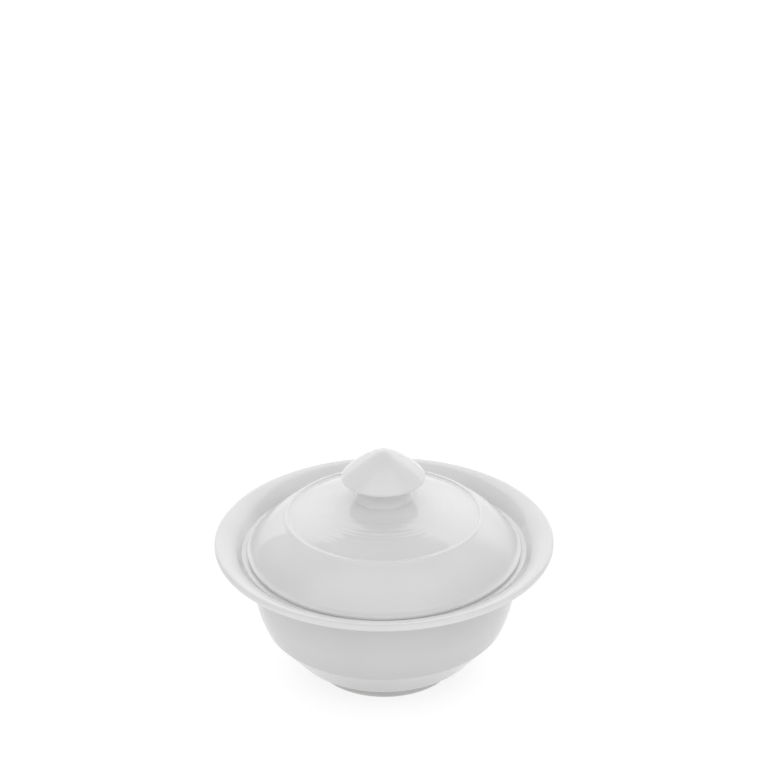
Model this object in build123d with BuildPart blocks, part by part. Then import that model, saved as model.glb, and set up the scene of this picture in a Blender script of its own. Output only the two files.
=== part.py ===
"""A lidded porcelain bowl: bowl, foot ring, lid and knob, each turned about the Z axis.

Millimetres, +Z up. The origin is the centre of the foot ring's bearing face, on the surface it stands on.
Sections are drawn on the XZ plane as (radius, height).
"""

import os

from build123d import *

# Foot ring
FOOT_HEIGHT = 3.2
FOOT_OUTER_R = 31.0
FOOT_INNER_R = 26.4
FOOT_TAPER = 0.6
FOOT_ROUNDING = 0.9

# Bowl body, outside: heel, soft corner, crisp shoulder, belly and neck
HEEL_R = 31.4
HEEL_ROUNDING = 0.8
CORNER_R, CORNER_Z = 40.0, 9.5
CORNER_ROUNDING = 7.0
SHOULDER_R, SHOULDER_Z = 50.8, 22.7
SHOULDER_ROUNDING = 0.8
BELLY_PULL_R, BELLY_PULL_Z = 54.4, 31.0
BELLY_R, BELLY_Z = 55.1, 41.8
NECK_R, NECK_Z = 55.7, 48.2

# Bowl body, inside: mouth, wall, well and floor
MOUTH_R = 53.0
MOUTH_ROUNDING = 0.7
INNER_BELLY_R = 52.2
WELL_R, WELL_Z = 46.6, 21.8
FLOOR_EDGE_R, FLOOR_EDGE_Z = 30.0, 9.4
FLOOR_Z = 6.6

# Seat for the lid, and the flared rim round it
SEAT_Z = 53.9
SEAT_R = 58.8
SEAT_ROUNDING = 1.2
FLARE_FOOT_R, FLARE_FOOT_Z = 60.3, 55.4
FLARE_BULGE_R, FLARE_BULGE_Z = 63.6, 58.4
RIM_CREST_R, RIM_CREST_Z = 68.2, 60.1
RIM_R, RIM_Z = 70.0, 58.6
RIM_UNDER_R, RIM_UNDER_Z = 69.1, 57.2
FLARE_ROOT_R, FLARE_ROOT_Z = 59.8, 51.9

# Lid, upper face: upright edge, narrow brim, dome, bead, rising top and the land that holds the knob
LID_R = 56.7
LID_FOOT_ROUNDING = 0.9
LID_EDGE_Z = SEAT_Z + 1.1
BEARING_R = LID_R - LID_FOOT_ROUNDING
BRIM_R, BRIM_Z = 56.1, 55.7
DOME_FOOT_R, DOME_FOOT_Z = 54.9, 56.5
DOME_BULGE_R, DOME_BULGE_Z = 48.8, 63.6
BEAD_R, BEAD_Z = 39.9, 70.2
BEAD_HALF_WIDTH = 1.2
BEAD_RISE = 0.7
BEAD_BLEND = 1.2
TOP_BULGE_R, TOP_BULGE_Z = 25.8, 74.6
LAND_R, LAND_Z = 12.3, 77.7

# Lid, lower face: shell thickness and the flange that drops inside the mouth
SHELL = 3.1
UNDER_LAND_R = 11.6
UNDER_TOP_BULGE_R, UNDER_TOP_BULGE_Z = 24.9, 71.6
UNDER_TOP_R, UNDER_TOP_Z = 38.3, BEAD_Z - BEAD_RISE - SHELL
UNDER_BULGE_R, UNDER_BULGE_Z = 46.2, 60.9
FLANGE_CLEARANCE = 1.4
FLANGE_THICKNESS = 2.6
FLANGE_DEPTH = 4.0
FLANGE_ROUNDING = 0.8
FLANGE_OUTER_R = MOUTH_R - FLANGE_CLEARANCE
FLANGE_INNER_R = FLANGE_OUTER_R - FLANGE_THICKNESS

# Knob: base, waisted neck, and a conical cap with a rounded lip and tip
KNOB_BASE_R = 12.1
KNOB_BASE_EDGE = 0.2
WAIST_R, WAIST_Z = 10.8, 80.4
CAP_UNDER_R, CAP_UNDER_Z = 15.9, 85.8
CAP_R, CAP_Z = 17.1, 86.9
CAP_SHOULDER_R, CAP_SHOULDER_Z = 16.5, 88.1
CAP_BULGE_R, CAP_BULGE_Z = 10.9, 93.3
CAP_TIP_R, CAP_TIP_Z = 3.2, 98.2
KNOB_TOP_Z = 99.1

os.makedirs("parts", exist_ok=True)

# Foot ring: a low ring, tapered on both sides and rounded where it stands.
with BuildPart() as foot_ring:
    with BuildSketch(Plane.XZ):
        with BuildLine():
            Polyline(
                (FOOT_INNER_R, FOOT_HEIGHT),
                (FOOT_INNER_R + FOOT_TAPER, 0),
                (FOOT_OUTER_R - FOOT_TAPER, 0),
                (FOOT_OUTER_R, FOOT_HEIGHT),
                close=True,
            )
        make_face()
    revolve(axis=Axis.Z)
    fillet(foot_ring.edges().group_by(Axis.Z)[0], radius=FOOT_ROUNDING)
foot_ring.part.label = "foot_ring"
export_step(foot_ring.part, "parts/foot_ring.step")

# Bowl: a thin shouldered body under a flared rim, with a flat recessed seat inside the rim.
with BuildPart() as bowl:
    with BuildSketch(Plane.XZ):
        with BuildLine():
            # Outside, from the middle of the base up to the rim
            FilletPolyline(
                (0, FOOT_HEIGHT),
                (HEEL_R, FOOT_HEIGHT),
                (CORNER_R, CORNER_Z),
                (SHOULDER_R, SHOULDER_Z),
                radius=[HEEL_ROUNDING, CORNER_ROUNDING],
            )
            Bezier((SHOULDER_R, SHOULDER_Z), (BELLY_PULL_R, BELLY_PULL_Z), (BELLY_R, BELLY_Z))
            neck = Line((BELLY_R, BELLY_Z), (NECK_R, NECK_Z))
            TangentArc(neck @ 1, (FLARE_ROOT_R, FLARE_ROOT_Z), tangent=neck % 1)
            Line((FLARE_ROOT_R, FLARE_ROOT_Z), (RIM_UNDER_R, RIM_UNDER_Z))
            TangentArc((RIM_R, RIM_Z), (RIM_UNDER_R, RIM_UNDER_Z), tangent=(0, -1))
            TangentArc((RIM_R, RIM_Z), (RIM_CREST_R, RIM_CREST_Z), tangent=(0, 1))
            # Inside, from the rim down over the seat to the floor
            flare = ThreePointArc(
                (RIM_CREST_R, RIM_CREST_Z),
                (FLARE_BULGE_R, FLARE_BULGE_Z),
                (FLARE_FOOT_R, FLARE_FOOT_Z),
            )
            Polyline(flare @ 1, (SEAT_R, SEAT_Z), (MOUTH_R, SEAT_Z))
            wall = Line((MOUTH_R, SEAT_Z), (INNER_BELLY_R, BELLY_Z))
            Spline(
                wall @ 1,
                (WELL_R, WELL_Z),
                (FLOOR_EDGE_R, FLOOR_EDGE_Z),
                (0, FLOOR_Z),
                tangents=[wall % 1, (-1, 0)],
            )
            Line((0, FLOOR_Z), (0, FOOT_HEIGHT))
        make_face()
    revolve(axis=Axis.Z)
    rings = bowl.edges().filter_by(GeomType.CIRCLE)
    shoulder = rings.filter_by_position(Axis.Z, SHOULDER_Z - 0.1, SHOULDER_Z + 0.1)
    mouth, seat_edge = rings.filter_by_position(Axis.Z, SEAT_Z - 0.1, SEAT_Z + 0.1).sort_by(SortBy.RADIUS)
    fillet(shoulder, radius=SHOULDER_ROUNDING)
    fillet(mouth, radius=MOUTH_ROUNDING)
    fillet(seat_edge, radius=SEAT_ROUNDING)
bowl.part.label = "bowl"
export_step(bowl.part, "parts/bowl.step")

# Lid: a domed shell with a narrow brim, a bead round its flatter top, and a flange inside the mouth.
with BuildPart() as lid:
    with BuildSketch(Plane.XZ):
        with BuildLine():
            # Upper face, from the bearing face over the brim and the dome to the middle
            TangentArc((BEARING_R, SEAT_Z), (LID_R, SEAT_Z + LID_FOOT_ROUNDING), tangent=(1, 0))
            Line((LID_R, SEAT_Z + LID_FOOT_ROUNDING), (LID_R, LID_EDGE_Z))
            TangentArc((LID_R, LID_EDGE_Z), (BRIM_R, BRIM_Z), tangent=(0, 1))
            Line((BRIM_R, BRIM_Z), (DOME_FOOT_R, DOME_FOOT_Z))
            bead_outside = (BEAD_R + BEAD_HALF_WIDTH, BEAD_Z - BEAD_RISE)
            bead_inside = (BEAD_R - BEAD_HALF_WIDTH, BEAD_Z - BEAD_RISE)
            ThreePointArc((DOME_FOOT_R, DOME_FOOT_Z), (DOME_BULGE_R, DOME_BULGE_Z), bead_outside)
            ThreePointArc(bead_outside, (BEAD_R, BEAD_Z), bead_inside)
            ThreePointArc(bead_inside, (TOP_BULGE_R, TOP_BULGE_Z), (LAND_R, LAND_Z))
            Line((LAND_R, LAND_Z), (0, LAND_Z))
            # Lower face, from the middle out to the flange and back to the bearing face
            Polyline((0, LAND_Z), (0, LAND_Z - SHELL), (UNDER_LAND_R, LAND_Z - SHELL))
            ThreePointArc(
                (UNDER_LAND_R, LAND_Z - SHELL),
                (UNDER_TOP_BULGE_R, UNDER_TOP_BULGE_Z),
                (UNDER_TOP_R, UNDER_TOP_Z),
            )
            ThreePointArc(
                (UNDER_TOP_R, UNDER_TOP_Z),
                (UNDER_BULGE_R, UNDER_BULGE_Z),
                (FLANGE_INNER_R, SEAT_Z),
            )
            Polyline(
                (FLANGE_INNER_R, SEAT_Z),
                (FLANGE_INNER_R, SEAT_Z - FLANGE_DEPTH),
                (FLANGE_OUTER_R, SEAT_Z - FLANGE_DEPTH),
                (FLANGE_OUTER_R, SEAT_Z),
                (BEARING_R, SEAT_Z),
            )
        make_face()
    revolve(axis=Axis.Z)
    bead_foot_z = BEAD_Z - BEAD_RISE
    lid_rings = lid.edges().filter_by(GeomType.CIRCLE)
    bead_feet = lid_rings.filter_by_position(Axis.Z, bead_foot_z - 0.1, bead_foot_z + 0.1)
    fillet(bead_feet, radius=BEAD_BLEND)
    fillet(lid.edges().group_by(Axis.Z)[0], radius=FLANGE_ROUNDING)
lid.part.label = "lid"
export_step(lid.part, "parts/lid.step")

# Knob: a solid conical cap with a rounded tip, on a waisted neck that stands on the lid's land.
with BuildPart() as knob:
    with BuildSketch(Plane.XZ):
        with BuildLine():
            base_edge = (KNOB_BASE_R, LAND_Z + KNOB_BASE_EDGE)
            Polyline((0, LAND_Z), (KNOB_BASE_R, LAND_Z), base_edge)
            TangentArc((WAIST_R, WAIST_Z), base_edge, tangent=(0, -1))
            TangentArc((WAIST_R, WAIST_Z), (CAP_UNDER_R, CAP_UNDER_Z), tangent=(0, 1))
            TangentArc((CAP_R, CAP_Z), (CAP_UNDER_R, CAP_UNDER_Z), tangent=(0, -1))
            TangentArc((CAP_R, CAP_Z), (CAP_SHOULDER_R, CAP_SHOULDER_Z), tangent=(0, 1))
            ThreePointArc(
                (CAP_SHOULDER_R, CAP_SHOULDER_Z),
                (CAP_BULGE_R, CAP_BULGE_Z),
                (CAP_TIP_R, CAP_TIP_Z),
            )
            TangentArc((0, KNOB_TOP_Z), (CAP_TIP_R, CAP_TIP_Z), tangent=(1, 0))
            Line((0, KNOB_TOP_Z), (0, LAND_Z))
        make_face()
    revolve(axis=Axis.Z)
knob.part.label = "knob"
export_step(knob.part, "parts/knob.step")
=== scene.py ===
"""Looks of a lidded porcelain bowl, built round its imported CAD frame.

Blender units are metres, +Z up. Every piece is turned about the Z axis: its profile is drawn in
millimetres, as (radius, height), and lathe() spins it into a mesh.
"""
import math

import bpy
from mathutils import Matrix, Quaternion, Vector


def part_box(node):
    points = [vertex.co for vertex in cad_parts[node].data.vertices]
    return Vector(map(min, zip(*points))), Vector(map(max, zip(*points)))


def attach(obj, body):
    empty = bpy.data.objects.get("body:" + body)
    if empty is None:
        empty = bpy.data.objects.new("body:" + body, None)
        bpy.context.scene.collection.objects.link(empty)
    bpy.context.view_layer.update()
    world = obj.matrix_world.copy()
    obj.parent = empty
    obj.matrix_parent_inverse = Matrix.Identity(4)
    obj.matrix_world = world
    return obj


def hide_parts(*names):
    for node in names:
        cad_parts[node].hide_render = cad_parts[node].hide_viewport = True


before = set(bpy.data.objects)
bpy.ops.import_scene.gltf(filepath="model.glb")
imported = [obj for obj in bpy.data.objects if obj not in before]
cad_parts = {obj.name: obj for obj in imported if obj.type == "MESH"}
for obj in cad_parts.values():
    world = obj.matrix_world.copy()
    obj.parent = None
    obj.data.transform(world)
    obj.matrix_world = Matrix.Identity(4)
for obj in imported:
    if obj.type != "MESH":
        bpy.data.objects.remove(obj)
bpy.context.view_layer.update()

MM = 0.001


def corner_mm(node, which):
    """A CAD node's lowest (0) or highest (1) corner, in millimetres."""
    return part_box(node)[which] / MM


# Sizes that come from the frame
FOOT_TOP = corner_mm("foot_ring", 1)
FOOT_OUTER_R, FOOT_HEIGHT = FOOT_TOP.x, FOOT_TOP.z
RIM_R = corner_mm("bowl", 1).x
LID_R = corner_mm("lid", 1).x
FLANGE_Z = corner_mm("lid", 0).z
LAND_Z = corner_mm("knob", 0).z
KNOB_TOP = corner_mm("knob", 1)
CAP_R, KNOB_TOP_Z = KNOB_TOP.x, KNOB_TOP.z

# Foot ring
FOOT_INNER_R = 26.4
FOOT_TAPER = 0.6
FOOT_ROUNDING = 0.9

# Bowl, outside: heel, soft corner, crisp shoulder, belly, neck
HEEL_R, HEEL_ROUNDING = 31.4, 0.8
CORNER, CORNER_ROUNDING = (40.0, 9.5), 7.0
SHOULDER, SHOULDER_ROUNDING = (50.8, 22.7), 0.9
SHOULDER_SKIP = 2
BELLY_PULL = (54.4, 31.0)
BELLY = (55.1, 41.8)
NECK = (55.7, 48.2)
NECK_PULL = (56.0, 50.6)
FLARE_ROOT = (59.8, 51.9)

# Bowl, rim: underside, edge, crest and the hollow flare down to the lid's seat
RIM_UNDER = (69.1, 57.2)
RIM_PULL_Z = 57.7
RIM_Z = 58.6
RIM_EDGE = (69.46, 59.77)
RIM_CREST = (68.2, 60.1)
FLARE_BULGE = (63.6, 58.4)
FLARE_FOOT = (60.3, 55.4)
SEAT_R, SEAT_Z = 58.8, 53.9
SEAT_ROUNDING = 1.2

# Bowl, inside
MOUTH_R, MOUTH_ROUNDING = 53.0, 0.7
INNER_BELLY = (52.2, 41.8)
WELL_PULLS = ((51.4, 29.7), (53.1, 22.7), (32.5, 1.8), (20.1, 6.6))
FLOOR_Z = 6.6

# Lid, upper face: rounded edge, narrow brim, dome, bead, and the throwing rings of its top
EDGE_ROUNDING = 0.9
EDGE_Z = 55.0
BRIM = (56.1, 55.7)
DOME_FOOT = (54.9, 56.5)
DOME_BULGE = (48.8, 63.6)
BEAD_R, BEAD_Z = 39.9, 70.2
BEAD_HALF_WIDTH = 1.2
BEAD_RISE = 0.7
BEAD_BLEND = 0.6
LAND_R = 12.3
TOP_BULGE = (25.8, 74.6)
RING_STEP = 0.25
RING_WAVELENGTH = 2.3
RING_HEIGHT = 0.016
RING_WANDER, RING_DRIFT = 1.3, 0.37

# Lid, lower face: shell and flange
SHELL = 3.1
UNDER_LAND_R = 11.6
UNDER_TOP_BULGE = (24.9, 71.6)
UNDER_TOP_R = 38.3
UNDER_BULGE = (46.2, 60.9)
FLANGE_OUTER_R = 51.6
FLANGE_INNER_R = 49.0
FLANGE_ROUNDING = 0.8

# Knob
KNOB_BASE_R, KNOB_BASE_EDGE = 12.1, 0.2
NECK_FOOT = (11.1, 79.0)
WAIST = (10.8, 80.4)
NECK_TOP = (12.3, 84.1)
CAP_UNDER, CAP_UNDER_PULL_Z = (15.9, 85.8), 86.1
CAP_Z = 86.9
CAP_SHOULDER, CAP_SHOULDER_PULL_Z = (16.5, 88.1), 87.6
CAP_BULGE = (10.9, 93.3)
CAP_TIP, CAP_TIP_PULL_R = (3.2, 98.2), 1.4

# Meshes
SEGMENTS = 240
STEP = 0.6
FEWEST_STEPS = 8
SHARP_ANGLE = math.radians(40)


# Profile runs: each gives its points, ends included

def line(start, end):
    steps = max(1, round(math.dist(start, end) / STEP))
    return [tuple(Vector(start).lerp(Vector(end), i / steps)) for i in range(steps + 1)]


def curve(*controls):
    """A Bezier curve: it leaves along the first two controls and arrives along the last two."""
    length = sum(math.dist(a, b) for a, b in zip(controls, controls[1:]))
    steps = max(FEWEST_STEPS, round(length / STEP))
    points = []
    for i in range(steps + 1):
        level = [Vector(c) for c in controls]
        while len(level) > 1:
            level = [a.lerp(b, i / steps) for a, b in zip(level, level[1:])]
        points.append(tuple(level[0]))
    return points


def arc(start, through, end, step=STEP):
    """The circular arc from start to end by way of a third point."""
    a, b, c = Vector(start), Vector(through), Vector(end)
    ab, ac = b - a, c - a
    twice_area = 2 * (ab.x * ac.y - ab.y * ac.x)
    offset = Vector((ac.y * ab.length_squared - ab.y * ac.length_squared,
                     ab.x * ac.length_squared - ac.x * ab.length_squared)) / twice_area
    centre = a + offset
    radius = offset.length
    turn = math.copysign(math.tau - 2 * (a - b).angle(c - b), twice_area)
    steps = max(FEWEST_STEPS, round(abs(turn) * radius / step))
    spokes = [math.atan2(-offset.y, -offset.x) + turn * i / steps for i in range(steps + 1)]
    return [(centre.x + radius * math.cos(t), centre.y + radius * math.sin(t)) for t in spokes]


def bend(before, corner, after, radius):
    """A rounded corner between two straight runs."""
    into, out = Vector(before) - Vector(corner), Vector(after) - Vector(corner)
    reach = radius / math.tan(into.angle(out) / 2)
    return curve(
        tuple(Vector(corner) + into.normalized() * reach),
        corner,
        tuple(Vector(corner) + out.normalized() * reach),
    )


def blend(first, second, reach):
    """Two runs that meet at a corner, with the corner eased over a distance either side of it."""
    corner = first[-1]
    before = [p for p in first if math.dist(p, corner) > reach]
    after = [p for p in second if math.dist(p, corner) > reach]
    return before + curve(before[-1], corner, after[0])[1:-1] + after


def join(*runs):
    """One profile from several runs; a gap between two runs is closed with a straight line."""
    points = list(runs[0])
    for run in runs[1:]:
        if math.dist(points[-1], run[0]) > STEP:
            points += line(points[-1], run[0])[1:-1]
        points += [p for p in run if math.dist(p, points[-1]) > MM]
    return points


# Profiles, each from one end of the section to the other

def foot_ring_profile():
    inner_top = (FOOT_INNER_R, FOOT_HEIGHT)
    inner = (FOOT_INNER_R + FOOT_TAPER, 0.0)
    outer = (FOOT_OUTER_R - FOOT_TAPER, 0.0)
    outer_top = (FOOT_OUTER_R, FOOT_HEIGHT)
    return join(
        [inner_top],
        bend(inner_top, inner, outer, FOOT_ROUNDING),
        bend(inner, outer, outer_top, FOOT_ROUNDING),
        line(outer_top, inner_top),
    )


def bowl_profile():
    heel = (HEEL_R, FOOT_HEIGHT)
    seat_edge = (SEAT_R, SEAT_Z)
    mouth = (MOUTH_R, SEAT_Z)
    return join(
        line((0.0, FOOT_HEIGHT), (HEEL_R - HEEL_ROUNDING, FOOT_HEIGHT)),
        bend((0.0, FOOT_HEIGHT), heel, CORNER, HEEL_ROUNDING),
        bend(heel, CORNER, SHOULDER, CORNER_ROUNDING),
        bend(CORNER, SHOULDER, BELLY_PULL, SHOULDER_ROUNDING),
        curve(SHOULDER, BELLY_PULL, BELLY)[SHOULDER_SKIP:],  # the rest lies within the shoulder's rounding
        line(BELLY, NECK),
        curve(NECK, NECK_PULL, FLARE_ROOT),
        line(FLARE_ROOT, RIM_UNDER),
        curve(RIM_UNDER, (RIM_R, RIM_PULL_Z), (RIM_R, RIM_Z)),
        arc((RIM_R, RIM_Z), RIM_EDGE, RIM_CREST),
        arc(RIM_CREST, FLARE_BULGE, FLARE_FOOT),
        bend(FLARE_FOOT, seat_edge, mouth, SEAT_ROUNDING),
        bend(seat_edge, mouth, INNER_BELLY, MOUTH_ROUNDING),
        curve(INNER_BELLY, *WELL_PULLS, (0.0, FLOOR_Z)),
    )


def throwing_rings(run):
    """Low rings left by the turning of a run, strongest in its middle."""
    ringed = [run[0]]
    travelled = 0.0
    whole = sum(math.dist(a, b) for a, b in zip(run, run[1:]))
    for before, point, after in zip(run, run[1:], run[2:]):
        travelled += math.dist(before, point)
        phase = math.tau * travelled / RING_WAVELENGTH
        wander = RING_WANDER * math.sin(RING_DRIFT * phase)
        height = RING_HEIGHT * math.sin(phase + wander) * math.sin(math.pi * travelled / whole)
        along = (Vector(after) - Vector(before)).normalized()
        ringed.append((point[0] - along.y * height, point[1] + along.x * height))
    return ringed + [run[-1]]


def lid_profile():
    under_z = LAND_Z - SHELL
    bead_foot_z = BEAD_Z - BEAD_RISE
    under_top = (UNDER_TOP_R, bead_foot_z - SHELL)
    flange_root = (FLANGE_INNER_R, SEAT_Z)
    flange_inner = (FLANGE_INNER_R, FLANGE_Z)
    flange_outer = (FLANGE_OUTER_R, FLANGE_Z)
    bearing_start = (FLANGE_OUTER_R, SEAT_Z)
    bearing_end = (LID_R - EDGE_ROUNDING, SEAT_Z)
    edge_foot = (LID_R, SEAT_Z + EDGE_ROUNDING)
    edge = (LID_R, EDGE_Z)
    bead_outside = (BEAD_R + BEAD_HALF_WIDTH, bead_foot_z)
    bead_inside = (BEAD_R - BEAD_HALF_WIDTH, bead_foot_z)
    land = (LAND_R, LAND_Z)
    dome = arc(DOME_FOOT, DOME_BULGE, bead_outside)
    bead = arc(bead_outside, (BEAD_R, BEAD_Z), bead_inside)
    top = throwing_rings(arc(bead_inside, TOP_BULGE, land, RING_STEP))
    return join(
        line((0.0, under_z), (UNDER_LAND_R, under_z)),
        arc((UNDER_LAND_R, under_z), UNDER_TOP_BULGE, under_top),
        arc(under_top, UNDER_BULGE, flange_root),
        bend(flange_root, flange_inner, flange_outer, FLANGE_ROUNDING),
        bend(flange_inner, flange_outer, bearing_start, FLANGE_ROUNDING),
        line(bearing_start, bearing_end),
        curve(bearing_end, (LID_R, SEAT_Z), edge_foot),
        line(edge_foot, edge),
        curve(edge, (LID_R, BRIM[1]), BRIM),
        line(BRIM, DOME_FOOT),
        blend(blend(dome, bead, BEAD_BLEND), top, BEAD_BLEND),
        line(land, (0.0, LAND_Z)),
    )


def knob_profile():
    base = (KNOB_BASE_R, LAND_Z)
    return join(
        line((0.0, LAND_Z), base),
        arc((KNOB_BASE_R, LAND_Z + KNOB_BASE_EDGE), NECK_FOOT, WAIST),
        arc(WAIST, NECK_TOP, CAP_UNDER),
        curve(CAP_UNDER, (CAP_R, CAP_UNDER_PULL_Z), (CAP_R, CAP_Z)),
        curve((CAP_R, CAP_Z), (CAP_R, CAP_SHOULDER_PULL_Z), CAP_SHOULDER),
        arc(CAP_SHOULDER, CAP_BULGE, CAP_TIP),
        curve(CAP_TIP, (CAP_TIP_PULL_R, KNOB_TOP_Z), (0.0, KNOB_TOP_Z)),
    )


def lathe(name, profile, material):
    """Spins a profile about the Z axis. One that starts off the axis is a closed loop."""
    if profile[0][0] > 0:
        profile = profile[:-1]
    verts, rings = [], []
    for radius, height in profile:
        count = SEGMENTS if radius > 0 else 1
        rings.append([len(verts) + i for i in range(count)])
        for i in range(count):
            angle = math.tau * i / SEGMENTS
            verts.append((radius * MM * math.cos(angle), radius * MM * math.sin(angle), height * MM))
    if profile[0][0] > 0:
        rings.append(rings[0])
    faces = []
    for lower, upper in zip(rings, rings[1:]):
        for i in range(SEGMENTS):
            j = (i + 1) % SEGMENTS
            corners = ((lower, i), (lower, j), (upper, j), (upper, i))
            faces.append(tuple(dict.fromkeys(ring[k % len(ring)] for ring, k in corners)))
    mesh = bpy.data.meshes.new(name)
    mesh.from_pydata(verts, [], faces)
    mesh.shade_smooth()
    mesh.set_sharp_from_angle(angle=SHARP_ANGLE)
    mesh.materials.append(material)
    piece = bpy.data.objects.new(name, mesh)
    bpy.context.scene.collection.objects.link(piece)
    return piece


# Materials

def node(tree, kind, settings=(), **inputs):
    """Adds a shader node; an input is a value, or another node's output to link."""
    made = tree.nodes.new(kind)
    for name, value in dict(settings).items():
        setattr(made, name, value)
    for name, value in inputs.items():
        socket = made.inputs[name.replace("_", " ")]
        if isinstance(value, bpy.types.NodeSocket):
            tree.links.new(value, socket)
        else:
            socket.default_value = value
    return made


def noise(tree, place, scale, detail):
    return node(tree, "ShaderNodeTexNoise", Vector=place, Scale=scale, Detail=detail).outputs["Fac"]


def remap(tree, value, low, high, to_low, to_high):
    """A value's range turned smoothly into another."""
    smooth = {"interpolation_type": "SMOOTHSTEP"}
    ranges = {"From_Min": low, "From_Max": high, "To_Min": to_low, "To_Max": to_high}
    return node(tree, "ShaderNodeMapRange", smooth, Value=value, **ranges).outputs[0]


def mixed(tree, share, zero, one):
    """A colour between two others."""
    return node(tree, "ShaderNodeMixRGB", Fac=share, Color1=zero, Color2=one).outputs[0]


def maths(tree, operation, first, second):
    made = node(tree, "ShaderNodeMath", {"operation": operation})
    for socket, value in zip(made.inputs, (first, second)):
        if isinstance(value, bpy.types.NodeSocket):
            tree.links.new(value, socket)
        else:
            socket.default_value = value
    return made.outputs[0]


def grey(value):
    return (value, value, value, 1.0)


# The glaze, the painted shade that darkens the outside of the bowl towards the foot, and the bare body
# where it is left off. Scales are features per metre, depths are metres.
GLAZE_TONES = (grey(0.71), grey(0.735))
# Painted shade: the bowl's outside glaze darkens from below the rim down to the foot, standing in for the
# dimmer light on its lower body.
WALL_PAINTED_SHADE_TONES = (grey(0.575), grey(0.595))
FOOT_PAINTED_SHADE_TONES = (grey(0.46), grey(0.48))
PAINTED_SHADE_RIM_FADE = (0.055, 0.060)
PAINTED_SHADE_FOOT_FADE = (0.008, 0.036)
PAINTED_SHADE_OUTSIDE_FROM = 0.005
BARE_TONES = ((0.53, 0.52, 0.505, 1.0), (0.59, 0.58, 0.565, 1.0))
GLAZE_ROUGHNESS = (0.01, 0.03)
BARE_ROUGHNESS = 0.8
GLAZE_IOR = 1.5
NOISE_SPREAD = (0.3, 0.7)
TONE_SCALE = 35.0
PEEL_SCALE, PEEL_DEPTH = 260.0, 0.000008
GRAIN_SCALE, GRAIN_DEPTH = 2600.0, 0.00004
GLAZE_THICKNESS = 0.00015
GLAZE_LINE_WIDTH = 0.0003
GLAZE_LINE_SCALE, GLAZE_LINE_WANDER = 70.0, 0.0003


# Mask that keeps the painted shade to the bowl's outward faces.
def outside(tree):
    """1 where a surface faces away from the Z axis, 0 where it faces the axis."""
    coordinates = node(tree, "ShaderNodeTexCoord").outputs
    spoke = node(tree, "ShaderNodeVectorMath", {"operation": "MULTIPLY"})
    tree.links.new(coordinates["Object"], spoke.inputs[0])
    spoke.inputs[1].default_value = (1.0, 1.0, 0.0)
    facing = node(tree, "ShaderNodeVectorMath", {"operation": "DOT_PRODUCT"})
    tree.links.new(spoke.outputs["Vector"], facing.inputs[0])
    tree.links.new(coordinates["Normal"], facing.inputs[1])
    return remap(tree, facing.outputs["Value"], 0.0, PAINTED_SHADE_OUTSIDE_FROM, 0.0, 1.0)


def porcelain(name, bare_below, painted_lower_shade):
    """Glazed white porcelain, left bare below a height in metres.

    Where painted lower shade is asked for, the glaze on the outside darkens from the rim to the foot:
    painted shade for the dimmer light low on the bowl.
    """
    material = bpy.data.materials.new(name)
    material.use_nodes = True
    tree = material.node_tree
    shader = tree.nodes["Principled BSDF"]
    place = node(tree, "ShaderNodeTexCoord").outputs["Object"]
    tone = remap(tree, noise(tree, place, TONE_SCALE, 3.0), *NOISE_SPREAD, 0.0, 1.0)
    peel = noise(tree, place, PEEL_SCALE, 1.0)
    grain = noise(tree, place, GRAIN_SCALE, 4.0)

    height = node(tree, "ShaderNodeSeparateXYZ", Vector=place).outputs["Z"]
    sway = noise(tree, place, GLAZE_LINE_SCALE, 1.0)
    wander = remap(tree, sway, *NOISE_SPREAD, -GLAZE_LINE_WANDER, GLAZE_LINE_WANDER)
    line_height = maths(tree, "ADD", height, wander)
    glazed = remap(tree, line_height, bare_below, bare_below + GLAZE_LINE_WIDTH, 0.0, 1.0)

    glaze_and_painted_shade_colour = mixed(tree, tone, *GLAZE_TONES)
    # Painted shade: the bowl's outside darkens below the rim, and more towards the foot.
    if painted_lower_shade:
        foot_painted_shade_colour, wall_painted_shade_colour = mixed(tree, tone, *FOOT_PAINTED_SHADE_TONES), mixed(tree, tone, *WALL_PAINTED_SHADE_TONES)
        outside_painted_shade_colour = mixed(tree, remap(tree, height, *PAINTED_SHADE_FOOT_FADE, 0.0, 1.0), foot_painted_shade_colour, wall_painted_shade_colour)
        painted_shade_below_rim = remap(tree, height, *PAINTED_SHADE_RIM_FADE, 1.0, 0.0)
        painted_shade_share = maths(tree, "MULTIPLY", painted_shade_below_rim, outside(tree))
        glaze_and_painted_shade_colour = mixed(tree, painted_shade_share, glaze_and_painted_shade_colour, outside_painted_shade_colour)
    bare_colour = mixed(tree, grain, *BARE_TONES)
    tree.links.new(mixed(tree, glazed, bare_colour, glaze_and_painted_shade_colour), shader.inputs["Base Color"])
    gloss = remap(tree, tone, 0.0, 1.0, *GLAZE_ROUGHNESS)
    tree.links.new(remap(tree, glazed, 0.0, 1.0, BARE_ROUGHNESS, gloss), shader.inputs["Roughness"])
    shader.inputs["IOR"].default_value = GLAZE_IOR

    glaze_relief = maths(tree, "ADD", maths(tree, "MULTIPLY", peel, PEEL_DEPTH), GLAZE_THICKNESS)
    bare_relief = maths(tree, "MULTIPLY", grain, GRAIN_DEPTH)
    relief = remap(tree, glazed, 0.0, 1.0, bare_relief, glaze_relief)
    bump = node(tree, "ShaderNodeBump", Height=relief, Distance=1.0)
    tree.links.new(bump.outputs["Normal"], shader.inputs["Normal"])
    return material


# Pieces

FOOT_BARE_BELOW = 0.0011
FLANGE_BARE_DEPTH = 0.0010
NOWHERE = -1.0
flange_bare_below = FLANGE_Z * MM + FLANGE_BARE_DEPTH

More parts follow.
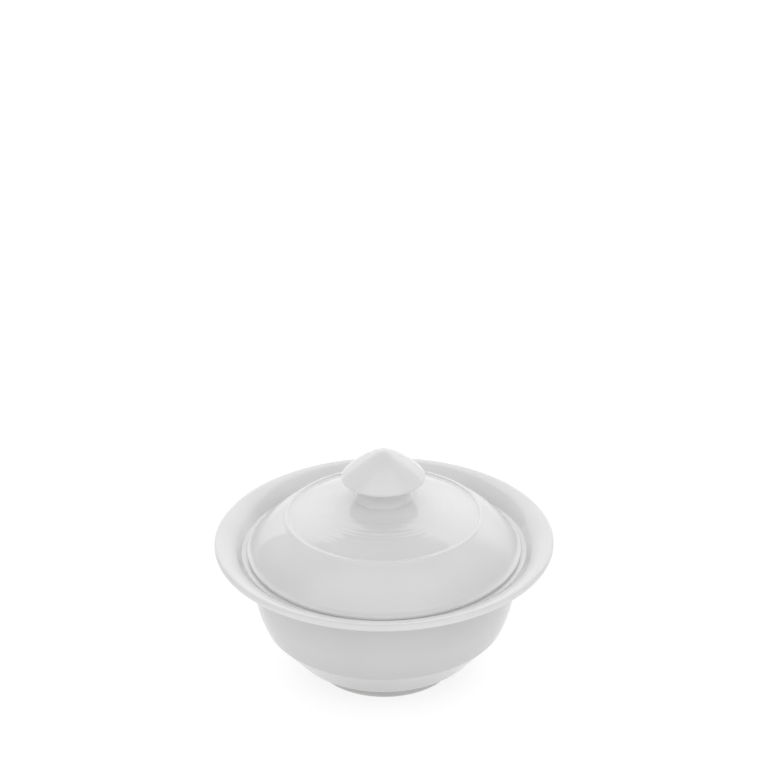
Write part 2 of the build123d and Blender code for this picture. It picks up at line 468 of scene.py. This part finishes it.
for node_name, body, profile, slot, bare_below in (
    ("foot_ring", "bowl", foot_ring_profile(), "bisque_porcelain", FOOT_BARE_BELOW),
    ("bowl", "bowl", bowl_profile(), "glazed_porcelain", NOWHERE),
    ("lid", "lid", lid_profile(), "glazed_porcelain", flange_bare_below),
    ("knob", "lid", knob_profile(), "glazed_porcelain", NOWHERE),
):
    material = porcelain(f"{node_name}_porcelain", bare_below, body == "bowl")
    piece = lathe(f"{node_name}_fired", profile, material)
    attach(piece, body)
    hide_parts(node_name)


# Floor, light and camera

FLOOR_SIZE = 12.0
FLOOR_TONES = (grey(0.39), grey(0.41))
FLOOR_GLOW = 0.68
FLOOR_ROUGHNESS = 0.9
MOTTLE_SCALE = 3.0


def add_floor():
    mesh = bpy.data.meshes.new("floor")
    half = FLOOR_SIZE / 2
    corners = [(-half, -half, 0), (half, -half, 0), (half, half, 0), (-half, half, 0)]
    mesh.from_pydata(corners, [], [(0, 1, 2, 3)])
    material = bpy.data.materials.new("pale_floor")
    material.use_nodes = True
    tree = material.node_tree
    shader = tree.nodes["Principled BSDF"]
    place = node(tree, "ShaderNodeTexCoord").outputs["Object"]
    mottle = mixed(tree, noise(tree, place, MOTTLE_SCALE, 2.0), *FLOOR_TONES)
    tree.links.new(mottle, shader.inputs["Base Color"])
    shader.inputs["Roughness"].default_value = FLOOR_ROUGHNESS
    shader.inputs["Emission Color"].default_value = grey(1.0)
    shader.inputs["Emission Strength"].default_value = FLOOR_GLOW
    mesh.materials.append(material)
    floor = bpy.data.objects.new("floor", mesh)
    bpy.context.scene.collection.objects.link(floor)


# Brightness of the room by height, from 0 at the horizon to 1 overhead, as (height, brightness)
SIDE_LIGHT = ((0.0, 0.6), (0.26, 0.71), (0.5, 0.71), (0.707, 0.56), (0.87, 0.34), (0.97, 0.15), (1.0, 0.0))
FRONT_LIGHT = ((0.0, 0.5), (0.26, 0.62), (0.5, 1.3), (0.707, 1.68), (0.87, 1.4), (0.97, 0.75), (1.0, 0.0))
BACK_LIGHT = ((0.0, 1.02), (0.26, 1.56), (0.5, 1.85), (1.0, 1.75))
LIGHTS = (SIDE_LIGHT, BACK_LIGHT, FRONT_LIGHT)
# The backdrop's top edge: its height for each metre that it stands behind the object
BACK_TOP = 1.8
# The parts of the room by bearing from straight behind the object: the backdrop's crisp left edge and soft
# right one, and the stretch over which the sides turn into the front
BACK_LEFT = math.radians(-43)
BACK_RIGHT = (math.radians(45), math.radians(60))
FRONT_EDGE = (math.radians(90), math.radians(130))


def ramp(tree, value, stops):
    """A number read off straight lines between (place, value) stops."""
    made = node(tree, "ShaderNodeValToRGB", Fac=value)
    elements = made.color_ramp.elements
    while len(elements) < len(stops):
        elements.new(0.5)
    for element, (place, brightness) in zip(elements, stops):
        element.position = place
        element.color = grey(brightness)
    return made.outputs["Color"]


def add_room():
    """A soft white room: a bright backdrop behind the object, and a broad light over the camera."""
    world = bpy.data.worlds.new("room")
    bpy.context.scene.world = world
    world.use_nodes = True
    tree = world.node_tree
    direction = node(tree, "ShaderNodeTexCoord").outputs["Generated"]
    axes = node(tree, "ShaderNodeSeparateXYZ", Vector=direction).outputs
    bearing = maths(tree, "ARCTAN2", axes["X"], axes["Y"])
    under_edge = maths(tree, "LESS_THAN", axes["Z"], maths(tree, "MULTIPLY", axes["Y"], BACK_TOP))
    past_left = maths(tree, "GREATER_THAN", bearing, BACK_LEFT)
    before_right = remap(tree, bearing, *BACK_RIGHT, 1.0, 0.0)
    back = maths(tree, "MULTIPLY", under_edge, maths(tree, "MULTIPLY", past_left, before_right))
    front = remap(tree, maths(tree, "ABSOLUTE", bearing, 0.0), *FRONT_EDGE, 0.0, 1.0)
    side, backdrop, overhead = (ramp(tree, axes["Z"], stops) for stops in LIGHTS)
    strength = mixed(tree, front, mixed(tree, back, side, backdrop), overhead)
    tree.links.new(strength, tree.nodes["Background"].inputs["Strength"])
    tree.nodes["Background"].inputs["Color"].default_value = grey(1.0)


CAMERA_DISTANCE = 0.704
CAMERA_ELEVATION = math.radians(29.82)
CAMERA_PITCH = math.radians(24.67)
CAMERA_ROLL = math.radians(0.58)
CAMERA_PAN = math.radians(0.06)
CAMERA_LENS = 79.44


def add_camera():
    """Stands off from the centre of the rim, and looks over the bowl."""
    data = bpy.data.cameras.new("camera")
    data.lens = CAMERA_LENS
    camera = bpy.data.objects.new("camera", data)
    back = Vector((0.0, -math.cos(CAMERA_ELEVATION), math.sin(CAMERA_ELEVATION)))
    camera.location = Vector((0.0, 0.0, RIM_Z * MM)) + back * CAMERA_DISTANCE
    camera.rotation_mode = "QUATERNION"
    pitch = Quaternion((1.0, 0.0, 0.0), math.pi / 2 - CAMERA_PITCH)
    roll = Quaternion((0.0, 0.0, 1.0), -CAMERA_ROLL)
    pan = Quaternion((0.0, 0.0, 1.0), -CAMERA_PAN)
    camera.rotation_quaternion = pan @ pitch @ roll
    bpy.context.scene.collection.objects.link(camera)
    bpy.context.scene.camera = camera


add_floor()
add_room()
add_camera()
bpy.context.scene.view_settings.view_transform = "Standard"
